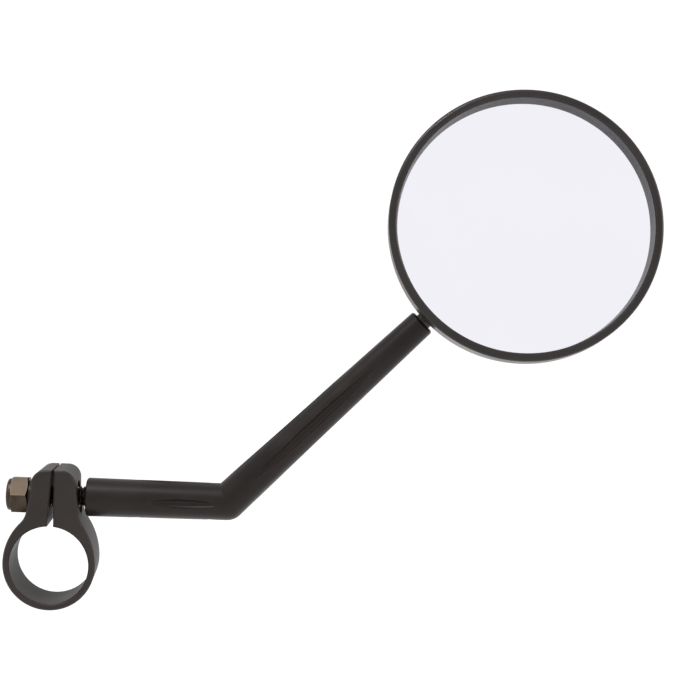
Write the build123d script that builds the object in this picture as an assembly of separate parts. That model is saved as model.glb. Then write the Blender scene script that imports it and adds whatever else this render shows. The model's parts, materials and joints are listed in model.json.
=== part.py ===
from build123d import *
import os
from math import acos, asin, atan2, cos, degrees, pi, radians, sin, sqrt, tan

os.makedirs("parts", exist_ok=True)

# A round bicycle mirror on a bent arm, with a split ring that clamps a handlebar end.
# Millimetres. Origin: centre of the clamp's bore. X: along the stud, towards the arm.
# Y: along the bore, away from the mirror's face. Z: up, through the clamp's two ears.

NEAR = 0.01             # tolerance when picking edges and corners
RUNOUT = 5.0            # how far a cutter runs past what it cuts
CUT = 0.1               # the same, where there is little room

# ---- Clamp band; its outside is given at the front face ----
BAR_R = 11.1            # 22.2 mm handlebar
BAND_R = 13.0
BAND_WIDTH = 14.0
BAND_DRAFT = 2.4        # degrees; the outside narrows towards the back
FLARE_LEFT_R = 17.0     # outer curve from the ring's side up to an ear
FLARE_RIGHT_R = 21.0
FLARE_TOP = 13.0        # height where the curve meets the ear's slanting flank
FLARE_FOOT_R = 6.0      # also eases the flank into its upright part
FLANK_TOP = 20.8        # the flank is upright above this height
EAR_LEFT = -5.3         # outside of the ear on the nut's side
EAR_RIGHT = 7.4         # outside of the ear on the arm's side
EAR_TOP = 27.2
EAR_CORNER_R = 4.2
SLOT_LEFT = 0.6         # the slot between the ears, at their top
SLOT_RIGHT = 1.1
SLOT_SPREAD = 1.25      # how far the left wall of the slot leans away by the bore
BAND_EDGE_R = 0.4
NUT_SEAT = -5.4         # flat that the washer bears on, sunk into the left flank
NUT_SEAT_R = 6.1
BUSH_SEAT = 6.35        # flat round the bush's outer end, sunk into the right flank
BUSH_SEAT_R = 4.7

# ---- Stud, nut and washer, M6 ----
STUD_Z = 18.55
THREAD_R = 2.98
THREAD_ROOT_R = 2.5
THREAD_PITCH = 1.0
THREAD_CREST = 0.15
STUD_INSET = 0.3        # the stud stops this far inside the nut's outer face
THREAD_BORE_R = 3.03
CLEARANCE_HOLE_R = 3.3
INSERT_R = 4.0
INSERT_GROOVE = 0.3
WASHER_R = 4.1
WASHER_HOLE_R = 3.2
WASHER_T = 1.3
WASHER_EDGE = 0.15
FACE_GAP = 0.02         # between faces that slide or turn on each other
NUT_AF = 9.8
NUT_TURN = -10.0        # how far the nut was left turned, in degrees
NUT_T = 6.0
NUT_HEX_T = 4.7
NUT_COLLAR_R = 4.5
NUT_CHAMFER = 0.75
NUT_CRIMP = 0.6         # the collar's rounded edge
NUT_LEAD = 0.5          # chamfer at the mouth of the nut's bore
NUT_LIP_R = 3.4
NUT_LIP_T = 0.25
NYLON_R = 3.9
NYLON_T = 1.0
STUD_IN_ARM = 11.0

# ---- Arm ----
ARM_START = 9.6         # end face of the short leg
ARM_BEND = 49.2         # where the two legs' axes cross
ARM_ANGLE = 45.0
ARM_LENGTH = 75.0       # long leg, from the bend to its end face
ARM_R_START = 5.45
ARM_R_BEND = 5.2
ARM_R_END = 3.85
ARM_EDGE_R = 0.7
FLUTE_HALF_WIDTH = 1.35
FLUTE_DEPTH = 1.0
SHORT_SIDE_FLUTES = (17.5, 36.9)    # lower and upper ends along each leg
SHORT_TOP_FLUTES = (14.0, 35.0)
LONG_SIDE_FLUTES = (7.5, 60.0)
LONG_TOP_FLUTES = (5.0, 50.0)

# ---- Ball joint ----
BALL_R = 4.2
BALL_FROM_END = 6.4     # ball centre beyond the arm's end face
NECK_R = 2.4
SHANK_LENGTH = 8.0
PRESS_GAP = 0.02
BALL_GAP = 0.05         # running clearance round the ball and round its seat
SEAT_T = 0.75
SOCKET_R = BALL_R + SEAT_T + 2 * BALL_GAP
SOCKET_WALL = 0.95
LIP_FROM_BALL = 4.8     # socket's mouth, from the ball's centre
MOUTH_R = 3.9
MOUTH_FLARE_R = 4.5
MOUTH_DEPTH = 3.0       # where the flare ends, from the ball's centre
LIP_EDGE_R = 0.4
SEAT_FRONT = 66.0       # the seat ring's edges, in degrees from the neck
SEAT_BACK = 100.0
CUP_ANGLE = 46.0        # the pressure cup's half angle, seen from the spring
PAD_RIM = 3.6           # along the socket's axis, from the ball's centre
PAD_BACK = 6.6
SPRING_LENGTH = 2.7
SPRING_R = 3.3
SPRING_WIRE_R = 0.4
SPRING_TURNS = 2
PLUG_T = 2.2
PLUG_KEY_AF = 4.0
PLUG_KEY_DEPTH = 1.5
SOCKET_LENGTH = 14.0

# ---- Mirror head, measured from the plane of the bezel's front ----
HEAD_R = 37.6
TILT_UP = 13.5          # the mirror faces this far above level
TURN_RIGHT = 0.9
FRONT_TO_BALL = 13.8
BALL_TO_AXIS = 31.0
LIP_R = 35.3
LIP_DRAFT = 0.15
LIP_CHAMFER = 0.4
BEZEL_EDGE_R = 0.8
GLASS_R = 36.0
GLASS_DEPTH = 3.5       # lip to the glass, at its edge
GLASS_T = 1.8
GLASS_CURVE_R = 600.0   # slightly convex
PAD_R = 34.2
PAD_PLANE = 6.0
PAD_GAP = 0.1
BEZEL_BORE_R = 36.15
BEZEL_DEPTH = 6.6
SEAM = 0.12
SPIGOT_R = 36.1
SPIGOT_INNER_R = 34.4
SPIGOT_ROOT = 9.0
SHELL_R = 37.4
SHELL_SIDE = 10.4       # depth where the side wall turns into the dome
SHELL_DEPTH = 19.0
SHELL_WALL = 1.8
SHELL_CORNER_R = 3.5
RIB_COUNT = 6
RIB_T = 1.2
RIB_IN = 8.0
RIB_OUT = 34.0
ARM_CLEARANCE_R = 6.4


def polar(length, angle):
    """A vector in the XZ plane."""
    return Vector(length * cos(radians(angle)), 0, length * sin(radians(angle)))


def turned(*points):
    """A solid of revolution about Z from straight runs between (radius, height) points."""
    outline = Polyline(*[(r, 0, z) for r, z in points], close=True)
    return revolve(make_face(outline), Axis.Z, 360)


def save(part, name, place=Location()):
    """Write one sub-part, moved to its place."""
    solid = part.moved(place)
    solid.label = name
    export_step(solid, f"parts/{name}.step")
    return solid


# ---- Places ----
X_AXIS_PLACE = Location(Plane(origin=(0, 0, STUD_Z), x_dir=(0, 1, 0), z_dir=(1, 0, 0)))
BEND = Vector(ARM_BEND, 0, STUD_Z)
ARM_DIR = polar(1, ARM_ANGLE)
ARM_SIDE = polar(1, ARM_ANGLE + 90)
BALL = BEND + ARM_DIR * (ARM_LENGTH + BALL_FROM_END)
NORMAL = Vector(
    sin(radians(TURN_RIGHT)) * cos(radians(TILT_UP)),
    -cos(radians(TURN_RIGHT)) * cos(radians(TILT_UP)),
    sin(radians(TILT_UP)),
)
INWARD = (ARM_DIR - NORMAL * ARM_DIR.dot(NORMAL)).normalized()
SOCKET_LEAN = 90 - degrees(acos(ARM_DIR.dot(NORMAL)))
HEAD_CENTRE = BALL + NORMAL * FRONT_TO_BALL + INWARD * BALL_TO_AXIS
HEAD_PLACE = Location(Plane(origin=HEAD_CENTRE, x_dir=INWARD, z_dir=NORMAL))
LEG_PLACE = Location(Plane(origin=BEND, x_dir=ARM_SIDE, z_dir=ARM_DIR))
BALL_PLACE = Location(Plane(origin=BALL, x_dir=ARM_SIDE, z_dir=ARM_DIR))
# The socket in the head's own frame: its axis leans towards the glass, away from the arm.
SOCKET_IN_HEAD = Location(
    Plane(
        origin=(-BALL_TO_AXIS, 0, -FRONT_TO_BALL),
        x_dir=(-sin(radians(SOCKET_LEAN)), 0, cos(radians(SOCKET_LEAN))),
        z_dir=(cos(radians(SOCKET_LEAN)), 0, sin(radians(SOCKET_LEAN))),
    )
)


# ---- Clamp ----
def flare(radius, side):
    """The outer curve from the ring's side up to an ear, and the point where it ends."""
    centre = BAND_R - radius
    half = asin(FLARE_TOP / radius) / 2
    middle = (side * (centre + radius * cos(half)), radius * sin(half))
    foot = (side * (centre + radius * cos(2 * half)), FLARE_TOP)
    return ThreePointArc((side * BAND_R, 0), middle, foot), foot


def band_outline():
    """The outside of the ring and its ears at the front face."""
    left, left_foot = flare(FLARE_LEFT_R, -1)
    right, right_foot = flare(FLARE_RIGHT_R, 1)
    ears = Polyline(
        right_foot,
        (EAR_RIGHT, FLANK_TOP),
        (EAR_RIGHT, EAR_TOP),
        (EAR_LEFT, EAR_TOP),
        (EAR_LEFT, FLANK_TOP),
        left_foot,
    )
    bottom = ThreePointArc((-BAND_R, 0), (0, -BAND_R), (BAND_R, 0))
    outline = make_face([right, ears, left, bottom])
    corners = outline.vertices().group_by(Axis.Y)[-1]
    outline = fillet(corners, EAR_CORNER_R)
    kinks = [v for v in outline.vertices() if FLARE_TOP - NEAR < v.Y < FLANK_TOP + NEAR]
    return fillet(kinks, FLARE_FOOT_R)


def slot():
    """The cut between the ears, as a face."""
    above = EAR_TOP + RUNOUT
    return make_face(
        Polyline(
            (SLOT_RIGHT, above),
            (SLOT_RIGHT, 0),
            (SLOT_LEFT - SLOT_SPREAD, 0),
            (SLOT_LEFT - SLOT_SPREAD, BAR_R - CUT),
            (SLOT_LEFT, EAR_TOP),
            (SLOT_LEFT, above),
            close=True,
        )
    )


def along_stud(radius, start, end):
    """A cylinder on the stud's axis."""
    low = (Align.CENTER, Align.CENTER, Align.MIN)
    return X_AXIS_PLACE * Pos(0, 0, start) * Cylinder(radius, end - start, align=low)


def clamp_band():
    back = Plane.XZ.offset(-BAND_WIDTH / 2)
    shrink = BAND_WIDTH * tan(radians(BAND_DRAFT))
    back_outline = offset(band_outline(), -shrink)
    band = extrude(back * back_outline, BAND_WIDTH, taper=-BAND_DRAFT)
    band -= extrude(back * (Circle(BAR_R) + slot()), BAND_WIDTH)
    edges = band.edges().filter_by(Axis.Y, reverse=True)
    rims = [e for e in edges if abs(abs(e.center().Y) - BAND_WIDTH / 2) < NEAR]
    band = chamfer(rims, BAND_EDGE_R)
    band -= along_stud(CLEARANCE_HOLE_R, NUT_SEAT - RUNOUT, SLOT_RIGHT)
    band -= along_stud(INSERT_R, (SLOT_LEFT + SLOT_RIGHT) / 2, BUSH_SEAT + RUNOUT)
    band -= along_stud(NUT_SEAT_R, NUT_SEAT - RUNOUT, NUT_SEAT)
    return band - along_stud(BUSH_SEAT_R, BUSH_SEAT, BUSH_SEAT + RUNOUT)


def ear_insert():
    """A threaded bush pressed into the arm-side ear, with two retaining grooves."""
    length = BUSH_SEAT - SLOT_RIGHT
    groove = INSERT_GROOVE
    third = length / 3
    body = turned(
        (THREAD_BORE_R, 0),
        (INSERT_R, 0),
        (INSERT_R, third - groove),
        (INSERT_R - groove, third),
        (INSERT_R, third + groove),
        (INSERT_R, 2 * third - groove),
        (INSERT_R - groove, 2 * third),
        (INSERT_R, 2 * third + groove),
        (INSERT_R, length),
        (THREAD_BORE_R, length),
    )
    return Pos(0, 0, SLOT_RIGHT) * body


# ---- Stud and nut, along the stud's axis ----
def stud():
    start = NUT_SEAT - FACE_GAP * 2 - WASHER_T - NUT_T + STUD_INSET
    taper = THREAD_R - THREAD_ROOT_R
    grooves = int((ARM_START - start - taper) / THREAD_PITCH)
    points = [(0, start), (THREAD_ROOT_R, start)]
    for i in range(grooves):
        crest = start + taper + i * THREAD_PITCH
        root = crest + (THREAD_PITCH + THREAD_CREST) / 2
        points += [(THREAD_R, crest), (THREAD_R, crest + THREAD_CREST), (THREAD_ROOT_R, root)]
    plain = start + taper + grooves * THREAD_PITCH
    end = ARM_START + STUD_IN_ARM
    return turned(*points, (THREAD_R, plain), (THREAD_R, end), (0, end))


def washer():
    top = NUT_SEAT - FACE_GAP
    return turned(
        (WASHER_HOLE_R, top - WASHER_T),
        (WASHER_R - WASHER_EDGE, top - WASHER_T),
        (WASHER_R, top - WASHER_T + WASHER_EDGE),
        (WASHER_R, top - WASHER_EDGE),
        (WASHER_R - WASHER_EDGE, top),
        (WASHER_HOLE_R, top),
    )


def lock_nut():
    """A hexagon with one corner towards the viewer, a crimped collar and a nylon pocket."""
    seat = NUT_SEAT - FACE_GAP * 2 - WASHER_T
    corner_r = NUT_AF / sqrt(3)
    hexagon = extrude(RegularPolygon(corner_r, 6, rotation=NUT_TURN), -NUT_HEX_T)
    drop = NUT_CHAMFER / 2
    limits = turned(
        (0, 0),
        (corner_r - NUT_CHAMFER, 0),
        (corner_r + CUT, -drop),
        (corner_r + CUT, drop - NUT_HEX_T),
        (corner_r - NUT_CHAMFER, -NUT_HEX_T),
        (0, -NUT_HEX_T),
    )
    collar = turned(
        (0, -NUT_HEX_T),
        (NUT_COLLAR_R, -NUT_HEX_T),
        (NUT_COLLAR_R, NUT_CRIMP - NUT_T),
        (NUT_COLLAR_R - NUT_CRIMP / 3, NUT_CRIMP / 3 - NUT_T),
        (NUT_COLLAR_R - NUT_CRIMP, -NUT_T),
        (0, -NUT_T),
    )
    pocket_end = NUT_LIP_T - NUT_T
    bore = turned(
        (0, CUT),
        (THREAD_BORE_R + NUT_LEAD, CUT),
        (THREAD_BORE_R, CUT - NUT_LEAD),
        (THREAD_BORE_R, pocket_end + NYLON_T),
        (NYLON_R, pocket_end + NYLON_T),
        (NYLON_R, pocket_end),
        (NUT_LIP_R, pocket_end),
        (NUT_LIP_R, -NUT_T - CUT),
        (0, -NUT_T - CUT),
    )
    return Pos(0, 0, seat) * ((hexagon & limits) + collar - bore)


def nut_insert():
    start = NUT_SEAT - FACE_GAP * 2 - WASHER_T - NUT_T + NUT_LIP_T
    return turned(
        (THREAD_BORE_R, start),
        (NYLON_R, start),
        (NYLON_R, start + NYLON_T),
        (THREAD_BORE_R, start + NYLON_T),
    )


# ---- Arm ----
def flute(span):
    """A pointed spindle that sinks a lens-shaped hollow of this length into a round leg."""
    reach = (FLUTE_HALF_WIDTH**2 + FLUTE_DEPTH**2) / (2 * FLUTE_DEPTH)
    lift = reach - FLUTE_DEPTH
    half = span / 2 / sqrt(1 - lift / reach)
    arc = ThreePointArc((0, 0, -half), (reach, 0, 0), (0, 0, half))
    spindle = revolve(make_face([arc, Line((0, 0, half), (0, 0, -half))]), Axis.Z, 360)
    return Pos(lift, 0, 0) * spindle


def fluted_leg(r_start, r_end, length, flutes):
    """A tapered round leg from Z = 0, with hollows at (angle, lower end, upper end)."""
    leg = Cone(r_start, r_end, length, align=(Align.CENTER, Align.CENTER, Align.MIN))
    lean = degrees(atan2(r_end - r_start, length))
    cutters = []
    for angle, low, high in flutes:
        middle = (low + high) / 2
        radius = r_start + (r_end - r_start) * middle / length
        place = Rot(0, 0, angle) * Pos(radius, 0, middle) * Rot(0, lean, 0)
        cutters.append(place * flute(high - low))
    return leg, cutters


def arm():
    """Two round legs with a rounded outer corner and a sharp inner one, hollowed on four sides."""
    flutes_1 = [(a, *SHORT_SIDE_FLUTES) for a in (0, 180)]
    flutes_1 += [(a, *SHORT_TOP_FLUTES) for a in (90, -90)]
    flutes_2 = [(a, *LONG_SIDE_FLUTES) for a in (90, -90)]
    flutes_2 += [(a, *LONG_TOP_FLUTES) for a in (0, 180)]
    leg_1, cuts_1 = fluted_leg(ARM_R_START, ARM_R_BEND, ARM_BEND - ARM_START, flutes_1)
    leg_1 = chamfer(leg_1.edges().sort_by(Axis.Z)[0], ARM_EDGE_R / 2)
    leg_2, cuts_2 = fluted_leg(ARM_R_BEND, ARM_R_END, ARM_LENGTH, flutes_2)
    leg_2 = fillet(leg_2.edges().sort_by(Axis.Z)[-1], ARM_EDGE_R)
    place_1 = X_AXIS_PLACE * Pos(0, 0, ARM_START)
    body = place_1 * leg_1 + LEG_PLACE * leg_2 + Pos(*BEND) * Sphere(ARM_R_BEND)
    for cutter in cuts_1:
        body -= place_1 * cutter
    for cutter in cuts_2:
        body -= LEG_PLACE * cutter
    body -= along_stud(THREAD_R + PRESS_GAP, ARM_START - CUT, ARM_START + STUD_IN_ARM + CUT)
    high = (Align.CENTER, Align.CENTER, Align.MAX)
    shank_hole = Cylinder(NECK_R + PRESS_GAP, SHANK_LENGTH + 2 * CUT, align=high)
    return body - LEG_PLACE * Pos(0, 0, ARM_LENGTH + CUT) * shank_hole


# ---- Ball joint, along the socket's axis from the ball's centre; the neck points down ----
def spherical_ring(inner, outer, angle_1, angle_2):
    """A ring cut from a hollow ball between two angles, in degrees from straight down."""
    def at(radius, angle):
        return (radius * sin(radians(angle)), 0, -radius * cos(radians(angle)))

    middle = (angle_1 + angle_2) / 2
    outline = [
        ThreePointArc(at(inner, angle_1), at(inner, middle), at(inner, angle_2)),
        Line(at(inner, angle_2), at(outer, angle_2)),
        ThreePointArc(at(outer, angle_2), at(outer, middle), at(outer, angle_1)),
        Line(at(outer, angle_1), at(inner, angle_1)),
    ]
    return revolve(make_face(outline), Axis.Z, 360)


def ball_stud():
    length = BALL_FROM_END + SHANK_LENGTH
    neck = Cylinder(NECK_R, length, align=(Align.CENTER, Align.CENTER, Align.MAX))
    return Sphere(BALL_R) + neck


def ball_seat():
    inner = BALL_R + BALL_GAP
    return spherical_ring(inner, inner + SEAT_T, SEAT_FRONT, SEAT_BACK)


def pressure_cup():
    inner = BALL_R + BALL_GAP
    return spherical_ring(inner, inner + SEAT_T, 180 - CUP_ANGLE, 180)


def thrust_pad():
    radius = SOCKET_R - BALL_GAP
    disc = turned((0, PAD_RIM), (radius, PAD_RIM), (radius, PAD_BACK), (0, PAD_BACK))
    return disc - Sphere(SOCKET_R)


def socket_spring():
    height = SPRING_LENGTH - 2 * SPRING_WIRE_R - 2 * FACE_GAP
    path = Helix(height / SPRING_TURNS, height, SPRING_R)
    section = Plane(origin=path @ 0, z_dir=path % 0) * Circle(SPRING_WIRE_R)
    coil = sweep(section, path=path, is_frenet=True)
    return Pos(0, 0, PAD_BACK + SPRING_WIRE_R + FACE_GAP) * coil


def tension_plug():
    start = PAD_BACK + SPRING_LENGTH
    radius = SOCKET_R - BALL_GAP
    disc = turned((0, start), (radius, start), (radius, start + PLUG_T), (0, start + PLUG_T))
    key = extrude(RegularPolygon(PLUG_KEY_AF / sqrt(3), 6), PLUG_KEY_DEPTH)
    return disc - Pos(0, 0, start + PLUG_T - PLUG_KEY_DEPTH) * key


# ---- Head, from the plane of the bezel's front; Z towards the viewer ----
def glass_drop(radius, curve=GLASS_CURVE_R):
    """How far the convex glass falls back from its middle at this radius."""
    return curve - sqrt(curve**2 - radius**2)


def domed_disc(radius, front, front_curve, back, back_curve):
    """A disc whose faces bulge forward; front and back are the heights at its rim."""
    def height(rim, curve, r):
        return rim if curve is None else rim + glass_drop(radius, curve) - glass_drop(r, curve)

    half = radius / 2
    faces = []
    for rim, curve in ((front, front_curve), (back, back_curve)):
        ends = [(r, 0, height(rim, curve, r)) for r in (0, half, radius)]
        faces.append(Line(ends[0], ends[2]) if curve is None else ThreePointArc(*ends))
    side = Line(faces[0] @ 1, faces[1] @ 1)
    axis = Line(faces[1] @ 0, faces[0] @ 0)
    return revolve(make_face([faces[0], side, faces[1], axis]), Axis.Z, 360)


def front_bezel():
    lip_back = glass_drop(GLASS_R) - glass_drop(LIP_R - LIP_DRAFT) + FACE_GAP - GLASS_DEPTH
    ring = turned(
        (HEAD_R, -BEZEL_DEPTH),
        (HEAD_R, 0),
        (LIP_R + LIP_CHAMFER, 0),
        (LIP_R, -LIP_CHAMFER),
        (LIP_R - LIP_DRAFT, lip_back),
        (BEZEL_BORE_R, lip_back),
        (BEZEL_BORE_R, -BEZEL_DEPTH),
    )
    front = ring.edges().group_by(Axis.Z)[-1].sort_by(SortBy.RADIUS)[-1]
    return fillet(front, BEZEL_EDGE_R)


def mirror_glass():
    rim = -GLASS_DEPTH
    return domed_disc(GLASS_R, rim, GLASS_CURVE_R, rim - GLASS_T, GLASS_CURVE_R)


def backing_pad():
    step = glass_drop(GLASS_R) - glass_drop(PAD_R)
    front = step - GLASS_DEPTH - GLASS_T - FACE_GAP
    return domed_disc(PAD_R, front, GLASS_CURVE_R, -PAD_PLANE, None)


def dome(radius, side, depth):
    """A round can with a domed bottom, open plane at the seam."""
    seam = -BEZEL_DEPTH - SEAM
    drop = depth - side
    curve = (radius**2 + drop**2) / (2 * drop)
    half_drop = curve - sqrt(curve**2 - radius**2 / 4)
    outline = [
        Line((0, 0, seam), (radius, 0, seam)),
        Line((radius, 0, seam), (radius, 0, -side)),
        ThreePointArc((radius, 0, -side), (radius / 2, 0, half_drop - depth), (0, 0, -depth)),
        Line((0, 0, -depth), (0, 0, seam)),
    ]
    can = revolve(make_face(outline), Axis.Z, 360)
    rims = [e for e in can.edges() if e.length > 2 * pi * radius - NEAR]
    return fillet(ShapeList(rims).sort_by(Axis.Z)[0], SHELL_CORNER_R)


def rear_shell():
    outer = dome(SHELL_R, SHELL_SIDE, SHELL_DEPTH)
    inner = dome(SHELL_R - SHELL_WALL, SHELL_SIDE - SHELL_WALL / 4, SHELL_DEPTH - SHELL_WALL)
    spigot_top = -(GLASS_DEPTH + GLASS_T + BALL_GAP)
    spigot = turned(
        (SPIGOT_INNER_R, -SPIGOT_ROOT),
        (SPIGOT_R, -SPIGOT_ROOT),
        (SPIGOT_R, spigot_top),
        (SPIGOT_INNER_R, spigot_top),
    )
    shell = outer - inner + spigot
    ceiling = -PAD_PLANE - PAD_GAP
    for i in range(RIB_COUNT):
        angle = 360 * i / RIB_COUNT
        if angle == 180:
            continue
        rib = Pos((RIB_IN + RIB_OUT) / 2, 0, ceiling - SHELL_DEPTH / 2) * Box(
            RIB_OUT - RIB_IN, RIB_T, SHELL_DEPTH
        )
        lower = Pos(0, 0, SEAM) * outer
        shell += Rot(0, 0, angle) * (rib & lower)
    wall_r = SOCKET_R + SOCKET_WALL
    boss = turned(
        (0, -LIP_FROM_BALL), (wall_r, -LIP_FROM_BALL), (wall_r, SOCKET_LENGTH), (0, SOCKET_LENGTH)
    )
    boss = fillet(boss.edges().sort_by(Axis.Z)[0], LIP_EDGE_R)
    below = Pos(0, 0, ceiling - HEAD_R) * Box(4 * HEAD_R, 4 * HEAD_R, 2 * HEAD_R)
    shell += (SOCKET_IN_HEAD * boss) & below
    cavity = Sphere(SOCKET_R) + turned(
        (0, 0), (SOCKET_R, 0), (SOCKET_R, SOCKET_LENGTH + RUNOUT), (0, SOCKET_LENGTH + RUNOUT)
    )
    mouth = turned(
        (0, -MOUTH_DEPTH),
        (MOUTH_R - CUT, -MOUTH_DEPTH),
        (MOUTH_FLARE_R, -LIP_FROM_BALL),
        (MOUTH_FLARE_R, -LIP_FROM_BALL - RUNOUT),
        (0, -LIP_FROM_BALL - RUNOUT),
    )
    arm_path = turned(
        (0, -LIP_FROM_BALL),
        (ARM_CLEARANCE_R, -LIP_FROM_BALL),
        (ARM_CLEARANCE_R, -LIP_FROM_BALL - 2 * RUNOUT),
        (0, -LIP_FROM_BALL - 2 * RUNOUT),
    )
    return shell - SOCKET_IN_HEAD * cavity - SOCKET_IN_HEAD * mouth - SOCKET_IN_HEAD * arm_path


save(clamp_band(), "clamp_band")
save(ear_insert(), "ear_insert", X_AXIS_PLACE)
save(stud(), "stud", X_AXIS_PLACE)
save(washer(), "washer", X_AXIS_PLACE)
save(lock_nut(), "lock_nut", X_AXIS_PLACE)
save(nut_insert(), "nut_insert", X_AXIS_PLACE)
save(arm(), "arm")
save(ball_stud(), "ball_stud", BALL_PLACE)
save(ball_seat(), "ball_seat", BALL_PLACE)
save(pressure_cup(), "pressure_cup", BALL_PLACE)
save(thrust_pad(), "thrust_pad", BALL_PLACE)
save(socket_spring(), "socket_spring", BALL_PLACE)
save(tension_plug(), "tension_plug", BALL_PLACE)
save(rear_shell(), "rear_shell", HEAD_PLACE)
save(front_bezel(), "front_bezel", HEAD_PLACE)
save(mirror_glass(), "mirror_glass", HEAD_PLACE)
save(backing_pad(), "backing_pad", HEAD_PLACE)
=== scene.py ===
import json
import math

import bmesh
import bpy
from mathutils import Matrix, Vector

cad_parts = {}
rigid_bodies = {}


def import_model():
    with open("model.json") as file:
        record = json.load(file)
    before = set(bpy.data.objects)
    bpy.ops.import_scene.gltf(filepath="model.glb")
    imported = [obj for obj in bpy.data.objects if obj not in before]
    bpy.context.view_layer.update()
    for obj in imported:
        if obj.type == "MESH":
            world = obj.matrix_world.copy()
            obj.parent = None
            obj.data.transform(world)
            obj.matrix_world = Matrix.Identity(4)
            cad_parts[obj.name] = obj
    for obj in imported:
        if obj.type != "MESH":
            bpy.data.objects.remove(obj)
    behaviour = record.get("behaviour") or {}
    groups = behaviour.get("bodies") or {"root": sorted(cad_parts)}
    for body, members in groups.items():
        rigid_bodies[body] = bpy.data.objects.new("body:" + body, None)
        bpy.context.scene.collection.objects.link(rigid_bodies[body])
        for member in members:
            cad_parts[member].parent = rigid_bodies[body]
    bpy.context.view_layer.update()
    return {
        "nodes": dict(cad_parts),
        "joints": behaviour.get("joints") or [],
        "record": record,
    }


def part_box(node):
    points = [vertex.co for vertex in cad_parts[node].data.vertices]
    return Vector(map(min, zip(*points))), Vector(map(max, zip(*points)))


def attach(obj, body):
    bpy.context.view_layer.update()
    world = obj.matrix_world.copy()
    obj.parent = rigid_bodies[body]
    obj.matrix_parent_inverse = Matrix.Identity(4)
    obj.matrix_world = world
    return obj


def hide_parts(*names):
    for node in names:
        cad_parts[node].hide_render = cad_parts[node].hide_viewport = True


for leftover in list(bpy.data.objects):
    bpy.data.objects.remove(leftover)

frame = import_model()

MM = 0.001

# ---- Where the frame puts things ----
JOINTS = {joint["name"]: joint for joint in frame["joints"]}
STUD_CENTRE = Vector(JOINTS["arm_swing"]["pos_m"])


# ---- Camera ----
CAMERA_AIM = Vector((82.3, 0, 63.0)) * MM
CAMERA_DISTANCE = 0.5008
CAMERA_DOWN = math.radians(7.45)
CAMERA_ROLL = math.radians(2.03)
CAMERA_LENS = 92.2


def camera():
    data = bpy.data.cameras.new("camera")
    data.lens = CAMERA_LENS
    data.sensor_width = 36
    data.clip_start = 0.01
    cam = bpy.data.objects.new("camera", data)
    tip = Matrix.Rotation(math.radians(90) - CAMERA_DOWN, 4, "X")
    roll = Matrix.Rotation(CAMERA_ROLL, 4, "Z")
    away = tip @ Vector((0, 0, 1))
    cam.matrix_world = Matrix.Translation(CAMERA_AIM + away * CAMERA_DISTANCE) @ tip @ roll
    bpy.context.scene.collection.objects.link(cam)
    bpy.context.scene.camera = cam


camera()


# ---- Light and floor ----
WORLD_STRENGTH = 1.04
KEY_PLACE, KEY_SIZE, KEY_WATTS = (-0.3, -0.35, 0.85), 0.35, 5
FILL_PLACE, FILL_SIZE, FILL_WATTS = (0.9, -0.15, 0.35), 0.4, 2.4
FILL_COLOUR = (1, 0.93, 0.85)
FLOOR_HALF = 6.0
FLOOR_DEPTH = 0.25
FLOOR_TONE = 0.99


def area_light(name, place, size, watts, colour=(1, 1, 1)):
    data = bpy.data.lights.new(name, "AREA")
    data.shape = "DISK"
    data.size = size
    data.energy = watts
    data.color = colour
    light = bpy.data.objects.new(name, data)
    light.location = place
    aim = CAMERA_AIM - Vector(place)
    light.rotation_euler = aim.to_track_quat("-Z", "Y").to_euler()
    bpy.context.scene.collection.objects.link(light)


def studio():
    world = bpy.data.worlds.new("studio")
    bpy.context.scene.world = world
    world.use_nodes = True
    background = world.node_tree.nodes["Background"]
    background.inputs["Color"].default_value = (1, 1, 1, 1)
    background.inputs["Strength"].default_value = WORLD_STRENGTH
    area_light("key", KEY_PLACE, KEY_SIZE, KEY_WATTS)
    area_light("right", FILL_PLACE, FILL_SIZE, FILL_WATTS, FILL_COLOUR)
    bpy.context.scene.view_settings.view_transform = "Standard"


def floor_material():
    material = bpy.data.materials.new("floor")
    material.use_nodes = True
    shader = material.node_tree.nodes["Principled BSDF"]
    shader.inputs["Base Color"].default_value = (FLOOR_TONE, FLOOR_TONE, FLOOR_TONE, 1)
    shader.inputs["Roughness"].default_value = 1.0
    shader.inputs["Specular IOR Level"].default_value = 0.0
    return material


def pale_floor():
    mesh = bpy.data.meshes.new("floor")
    half = FLOOR_HALF
    corners = [(-half, -half, 0), (half, -half, 0), (half, half, 0), (-half, half, 0)]
    mesh.from_pydata(corners, [], [(0, 1, 2, 3)])
    floor = bpy.data.objects.new("floor", mesh)
    floor.location = (0, 0, -FLOOR_DEPTH)
    mesh.materials.append(floor_material())
    bpy.context.scene.collection.objects.link(floor)


studio()
pale_floor()


# ---- Materials ----
MOULDED_GRAIN = 2600.0      # cycles per metre
METAL_GRAIN = 1500.0
METAL_MARKS = 0.01 * MM     # depth


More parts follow.
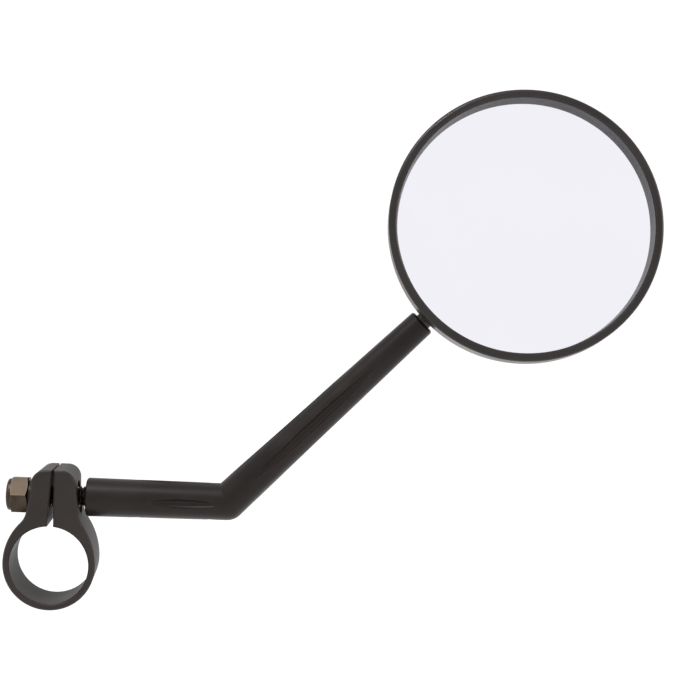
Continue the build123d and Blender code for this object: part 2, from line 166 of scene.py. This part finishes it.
class Nodes:
    """Small helper for building one material's node tree."""

    def __init__(self, name):
        self.material = bpy.data.materials.new(name)
        self.material.use_nodes = True
        self.tree = self.material.node_tree
        self.shader = self.tree.nodes["Principled BSDF"]
        self.coords = self.add("ShaderNodeTexCoord").outputs["Object"]

    def add(self, kind, **settings):
        node = self.tree.nodes.new(kind)
        for key, value in settings.items():
            if hasattr(node, key):
                setattr(node, key, value)
            else:
                node.inputs[key].default_value = value
        return node

    def link(self, source, target):
        self.tree.links.new(source, target)

    def noise(self, scale, detail=3.0, roughness=0.5):
        """Noise over the piece, with its scale in cycles per metre."""
        node = self.add("ShaderNodeTexNoise", Scale=scale, Detail=detail, Roughness=roughness)
        self.link(self.coords, node.inputs["Vector"])
        return node.outputs["Fac"]

    def ramp(self, fac, low, high, start=0.0, end=1.0):
        """Maps a factor's range onto two values."""
        node = self.add("ShaderNodeMapRange")
        for key, value in (("From Min", start), ("From Max", end), ("To Min", low), ("To Max", high)):
            node.inputs[key].default_value = value
        self.link(fac, node.inputs["Value"])
        return node.outputs["Result"]

    def mix(self, fac, first, second):
        node = self.add("ShaderNodeMix", data_type="RGBA")
        self.link(fac, node.inputs["Factor"])
        node.inputs[6].default_value = (*first, 1) if isinstance(first, tuple) else (0, 0, 0, 1)
        node.inputs[7].default_value = (*second, 1) if isinstance(second, tuple) else (0, 0, 0, 1)
        if not isinstance(first, tuple):
            self.link(first, node.inputs[6])
        if not isinstance(second, tuple):
            self.link(second, node.inputs[7])
        return node.outputs[2]

    def bump(self, height, distance, strength=1.0, after=None):
        node = self.add("ShaderNodeBump", Distance=distance, Strength=strength)
        self.link(height, node.inputs["Height"])
        if after:
            self.link(after, node.inputs["Normal"])
        return node.outputs["Normal"]

    def edges(self, radius):
        """One on a sharp edge, nought on a flat face."""
        geometry = self.add("ShaderNodeNewGeometry").outputs["Normal"]
        bevel = self.add("ShaderNodeBevel", samples=4, Radius=radius)
        dot = self.add("ShaderNodeVectorMath", operation="DOT_PRODUCT")
        self.link(geometry, dot.inputs[0])
        self.link(bevel.outputs["Normal"], dot.inputs[1])
        return self.ramp(dot.outputs["Value"], 1.0, 0.0, 0.8, 1.0)

    def finish(self, colour, roughness, normal=None, **values):
        sockets = self.shader.inputs
        for key, value in values.items():
            sockets[key.replace("_", " ")].default_value = value
        for socket, value in (("Base Color", colour), ("Roughness", roughness)):
            if isinstance(value, tuple):
                sockets[socket].default_value = (*value, 1)
            elif isinstance(value, (int, float)):
                sockets[socket].default_value = value
            else:
                self.link(value, sockets[socket])
        if normal:
            self.link(normal, sockets["Normal"])
        return self.material


def moulded_plastic(name, dark, light, gloss, sheen, grain_depth):
    """Black moulded plastic: fine spark-eroded grain, soft flow marks, paler rubbed edges."""
    n = Nodes(name)
    flow = n.noise(45.0, 4.0, 0.55)
    rubbed = n.noise(700.0, 5.0, 0.6)
    body = n.mix(n.ramp(flow, 0.0, 1.0, 0.35, 0.7), dark, light)
    worn = n.add("ShaderNodeMath", operation="MULTIPLY")
    n.link(n.edges(0.35 * MM), worn.inputs[0])
    n.link(n.ramp(rubbed, 0.0, 1.0, 0.45, 0.7), worn.inputs[1])
    pale = tuple(3.2 * value for value in light)
    colour = n.mix(worn.outputs["Value"], body, pale)
    rough = n.ramp(flow, gloss - 0.07, gloss + 0.07, 0.3, 0.7)
    fine = n.bump(n.noise(MOULDED_GRAIN, 2.0, 0.6), grain_depth)
    soft = n.bump(n.noise(160.0, 2.0, 0.5), 0.08 * MM, 0.5, fine)
    return n.finish(colour, rough, soft, Specular_IOR_Level=sheen)


def metal(name, dark, light, gloss):
    """Turned or drawn metal: tone mottling, fine pitting, and a painted highlight brightening every
    sharp edge.
    """
    n = Nodes(name)
    mottle = n.noise(220.0, 5.0, 0.6)
    colour = n.mix(n.ramp(mottle, 0.0, 1.0, 0.3, 0.7), dark, light)
    # Painted highlight: the colour on every sharp edge is mixed toward a brighter tone.
    edge_highlight = tuple(min(1.0, 1.9 * value) for value in light)
    colour = n.mix(n.edges(0.2 * MM), colour, edge_highlight)
    rough = n.ramp(mottle, gloss - 0.1, gloss + 0.12, 0.3, 0.7)
    marks = n.bump(n.noise(METAL_GRAIN, 4.0, 0.6), METAL_MARKS)
    return n.finish(colour, rough, marks, Metallic=1.0)


def silvered_glass():
    """A mirror face with the faintest waviness and haze."""
    n = Nodes("silvered_glass")
    haze = n.noise(35.0, 4.0, 0.6)
    colour = n.mix(n.ramp(haze, 0.0, 1.0, 0.3, 0.7), (0.835, 0.832, 0.885), (0.85, 0.847, 0.9))
    rough = n.ramp(haze, 0.0, 0.03, 0.4, 0.8)
    wave = n.bump(n.noise(25.0, 1.0, 0.5), 0.002 * MM)
    return n.finish(colour, rough, wave, Metallic=1.0)


def soft_plastic(name, dark, light, gloss):
    """Natural nylon or acetal: milky, smooth, slightly uneven."""
    n = Nodes(name)
    cloud = n.noise(300.0, 3.0, 0.5)
    colour = n.mix(cloud, dark, light)
    fine = n.bump(n.noise(2500.0, 2.0, 0.5), 0.004 * MM)
    return n.finish(colour, n.ramp(cloud, gloss - 0.05, gloss + 0.05), fine)


def foam():
    n = Nodes("foam")
    cells = n.add("ShaderNodeTexVoronoi", Scale=1800.0)
    n.link(n.coords, cells.inputs["Vector"])
    colour = n.mix(cells.outputs["Distance"], (0.03, 0.03, 0.03), (0.08, 0.08, 0.08))
    return n.finish(colour, 0.9, n.bump(cells.outputs["Distance"], 0.1 * MM))


MATERIALS = {
    "clamp_plastic": moulded_plastic(
        "clamp_plastic", (0.013, 0.009, 0.0078), (0.021, 0.0155, 0.0132), 0.52, 0.27, 0.02 * MM
    ),
    "arm_plastic": moulded_plastic(
        "arm_plastic", (0.0075, 0.0052, 0.0042), (0.0125, 0.0092, 0.0078), 0.38, 0.18, 0.012 * MM
    ),
    "head_plastic": moulded_plastic(
        "head_plastic", (0.0105, 0.008, 0.0073), (0.0175, 0.0145, 0.0133), 0.34, 0.29, 0.008 * MM
    ),
    "stud_steel": metal("stud_steel", (0.02, 0.015, 0.012), (0.05, 0.04, 0.034), 0.4),
    "nut_steel": metal("nut_steel", (0.03, 0.023, 0.016), (0.075, 0.058, 0.046), 0.4),
    "washer_steel": metal("washer_steel", (0.02, 0.017, 0.015), (0.05, 0.043, 0.04), 0.45),
    "bush_steel": metal("bush_steel", (0.015, 0.012, 0.011), (0.03, 0.026, 0.024), 0.5),
    "ball_steel": metal("ball_steel", (0.025, 0.021, 0.019), (0.055, 0.047, 0.043), 0.3),
    "spring_steel": metal("spring_steel", (0.3, 0.3, 0.31), (0.5, 0.5, 0.51), 0.3),
    "plug_brass": metal("plug_brass", (0.6, 0.43, 0.2), (0.8, 0.62, 0.33), 0.3),
    "nut_nylon": soft_plastic("nut_nylon", (0.4, 0.22, 0.12), (0.55, 0.36, 0.24), 0.4),
    "seat_acetal": soft_plastic("seat_acetal", (0.78, 0.78, 0.75), (0.88, 0.88, 0.86), 0.35),
    "pad_foam": foam(),
    "mirror_silver": silvered_glass(),
}

for part in frame["record"]["subparts"]:
    mesh = frame["nodes"][part["node"]].data
    mesh.materials.clear()
    mesh.materials.append(MATERIALS[part["material_slot"]])


# ---- Pieces made here ----
THREAD_PITCH = 1.0 * MM
THREAD_DEPTH = 0.55 * MM
THREAD_STEPS = 8
THREAD_SIDES = 48
FLANK_SLOPE = 1.3       # steeper than the pitch alone, so that crests and roots come out flat
FLANK_OFFSET = 0.1


def thread_radius(radius, along, turn):
    """Radius of a one-start thread with flat crests, at this distance and part of a turn."""
    phase = (along / THREAD_PITCH - turn) % 1.0
    height = min(1.0, max(0.0, FLANK_SLOPE * abs(2 * phase - 1) - FLANK_OFFSET))
    return radius - THREAD_DEPTH * (1 - height)


def threaded_stud():
    """The stud with a true helical thread from its free end to the arm's end face."""
    low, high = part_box("stud")
    radius = (high[1] - low[1]) / 2
    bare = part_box("arm")[0][0] + THREAD_PITCH
    count = int((bare - low[0]) / THREAD_PITCH * THREAD_STEPS)
    stations = [low[0] + i * THREAD_PITCH / THREAD_STEPS for i in range(count + 1)]
    mesh = bmesh.new()
    rings = []
    for x in stations + [high[0]]:
        along = x - low[0]
        ring = []
        for i in range(THREAD_SIDES):
            turn = i / THREAD_SIDES
            r = thread_radius(radius, along, turn) if x < high[0] else radius - THREAD_DEPTH
            r = min(r, radius - THREAD_DEPTH + along)
            angle = 2 * math.pi * turn
            ring.append(
                mesh.verts.new(
                    (x, STUD_CENTRE.y + r * math.cos(angle), STUD_CENTRE.z + r * math.sin(angle))
                )
            )
        rings.append(ring)
    for near, far in zip(rings, rings[1:]):
        for i in range(THREAD_SIDES):
            j = (i + 1) % THREAD_SIDES
            mesh.faces.new((near[i], near[j], far[j], far[i]))
    mesh.faces.new(reversed(rings[0]))
    mesh.faces.new(rings[-1])
    bmesh.ops.recalc_face_normals(mesh, faces=mesh.faces)
    return made(mesh, "threaded_stud", "stud", "arm")


def made(mesh, name, node, body):
    """Turns a bmesh into a piece that stands for a CAD node and rides on its body."""
    data = bpy.data.meshes.new(name)
    mesh.to_mesh(data)
    mesh.free()
    piece = bpy.data.objects.new(name, data)
    bpy.context.scene.collection.objects.link(piece)
    slot = next(p["material_slot"] for p in frame["record"]["subparts"] if p["node"] == node)
    data.materials.append(MATERIALS[slot])
    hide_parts(node)
    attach(piece, body)
    return piece


threaded_stud()


bpy.context.view_layer.update()
